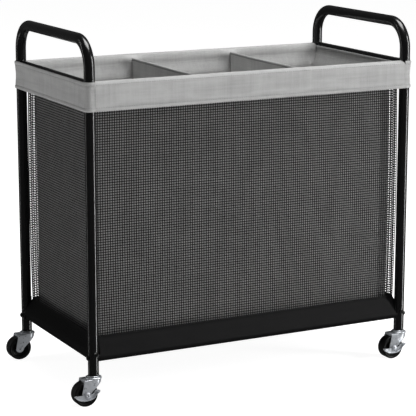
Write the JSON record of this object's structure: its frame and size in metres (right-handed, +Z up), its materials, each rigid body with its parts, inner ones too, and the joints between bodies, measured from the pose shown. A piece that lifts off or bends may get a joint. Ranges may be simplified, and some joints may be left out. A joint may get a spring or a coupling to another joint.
{
  "type": "laundry sorter on wheels",
  "caption": "Rolling laundry sorter: black steel tube frame with a handle bow at each end, a mesh bag with three open compartments under a grey cuff, and swivel casters with front brakes.",
  "frame": {"origin": "on the floor, under the middle of the overall box, which is 16.5 mm left and 4 mm in front of the middle of the four posts because the casters trail to the left and the brake levers stand out to the front", "axes": "+X to the right along the front, +Y to the back, +Z up"},
  "size_m": [0.7937, 0.4048, 0.744],
  "materials": {
    "frame_paint": "semi-gloss black powder coat, and the same black on the screws",
    "zinc_plate": "bright zinc plate on pressed steel",
    "black_plastic": "moulded black plastic",
    "wheel_plastic": "satin moulded black plastic",
    "mesh_fabric": "open square mesh of coated black yarn",
    "base_fabric": "plain woven black polyester",
    "cuff_fabric": "light grey linen-look polyester",
    "lining_fabric": "light grey linen-look polyester lining"
  },
  "bodies": {
    "frame": {"left_handle_bow": "frame_paint", "left_top_crossbar": "frame_paint", "left_bottom_rail": "frame_paint", "right_handle_bow": "frame_paint", "right_top_crossbar": "frame_paint", "right_bottom_rail": "frame_paint", "front_top_rail": "frame_paint", "front_bottom_rail": "frame_paint", "back_top_rail": "frame_paint", "back_bottom_rail": "frame_paint", "front_left_leg": "frame_paint", "front_left_long_rail_screw": "frame_paint", "front_left_side_rail_screw": "frame_paint", "front_left_top_rail_screw": "frame_paint", "front_left_caster_socket": "black_plastic", "front_left_caster_stem": "zinc_plate", "front_right_leg": "frame_paint", "front_right_long_rail_screw": "frame_paint", "front_right_side_rail_screw": "frame_paint", "front_right_top_rail_screw": "frame_paint", "front_right_caster_socket": "black_plastic", "front_right_caster_stem": "zinc_plate", "back_left_leg": "frame_paint", "back_left_long_rail_screw": "frame_paint", "back_left_side_rail_screw": "frame_paint", "back_left_top_rail_screw": "frame_paint", "back_left_caster_socket": "black_plastic", "back_left_caster_stem": "zinc_plate", "back_right_leg": "frame_paint", "back_right_long_rail_screw": "frame_paint", "back_right_side_rail_screw": "frame_paint", "back_right_top_rail_screw": "frame_paint", "back_right_caster_socket": "black_plastic", "back_right_caster_stem": "zinc_plate", "front_bag_wall": "mesh_fabric", "front_cuff": "cuff_fabric", "back_bag_wall": "mesh_fabric", "back_cuff": "cuff_fabric", "left_bag_wall": "mesh_fabric", "left_cuff": "cuff_fabric", "right_bag_wall": "mesh_fabric", "right_cuff": "cuff_fabric", "bag_base": "base_fabric", "left_divider": "lining_fabric", "right_divider": "lining_fabric"},
    "front_left_caster": {"front_left_caster_fork": "zinc_plate", "front_left_axle_rivet": "zinc_plate"},
    "front_left_wheel": {"front_left_wheel": "wheel_plastic"},
    "front_left_brake": {"front_left_brake_lever": "zinc_plate"},
    "front_right_caster": {"front_right_caster_fork": "zinc_plate", "front_right_axle_rivet": "zinc_plate"},
    "front_right_wheel": {"front_right_wheel": "wheel_plastic"},
    "front_right_brake": {"front_right_brake_lever": "zinc_plate"},
    "back_left_caster": {"back_left_caster_fork": "zinc_plate", "back_left_axle_rivet": "zinc_plate"},
    "back_left_wheel": {"back_left_wheel": "wheel_plastic"},
    "back_right_caster": {"back_right_caster_fork": "zinc_plate", "back_right_axle_rivet": "zinc_plate"},
    "back_right_wheel": {"back_right_wheel": "wheel_plastic"}
  },
  "joints": [
    {"name": "front_left_swivel", "type": "hinge", "parent": "frame", "child": "front_left_caster", "pos_m": [-0.3475, -0.178, 0.0585], "axis": [0, 0, 1], "continuous": true},
    {"name": "front_left_wheel_spin", "type": "hinge", "parent": "front_left_caster", "child": "front_left_wheel", "pos_m": [-0.368, -0.178, 0.02528], "axis": [0, 1, 0], "continuous": true},
    {"name": "front_left_brake", "type": "hinge", "parent": "front_left_caster", "child": "front_left_brake", "pos_m": [-0.368, -0.178, 0.02528], "axis": [0, 1, 0], "range_deg": [0, 20]},
    {"name": "front_right_swivel", "type": "hinge", "parent": "frame", "child": "front_right_caster", "pos_m": [0.3805, -0.178, 0.0585], "axis": [0, 0, 1], "continuous": true},
    {"name": "front_right_wheel_spin", "type": "hinge", "parent": "front_right_caster", "child": "front_right_wheel", "pos_m": [0.36, -0.178, 0.02528], "axis": [0, 1, 0], "continuous": true},
    {"name": "front_right_brake", "type": "hinge", "parent": "front_right_caster", "child": "front_right_brake", "pos_m": [0.36, -0.178, 0.02528], "axis": [0, 1, 0], "range_deg": [0, 20]},
    {"name": "back_left_swivel", "type": "hinge", "parent": "frame", "child": "back_left_caster", "pos_m": [-0.3475, 0.186, 0.0585], "axis": [0, 0, 1], "continuous": true},
    {"name": "back_left_wheel_spin", "type": "hinge", "parent": "back_left_caster", "child": "back_left_wheel", "pos_m": [-0.368, 0.186, 0.02528], "axis": [0, 1, 0], "continuous": true},
    {"name": "back_right_swivel", "type": "hinge", "parent": "frame", "child": "back_right_caster", "pos_m": [0.3805, 0.186, 0.0585], "axis": [0, 0, 1], "continuous": true},
    {"name": "back_right_wheel_spin", "type": "hinge", "parent": "back_right_caster", "child": "back_right_wheel", "pos_m": [0.36, 0.186, 0.02528], "axis": [0, 1, 0], "continuous": true}
  ]
}
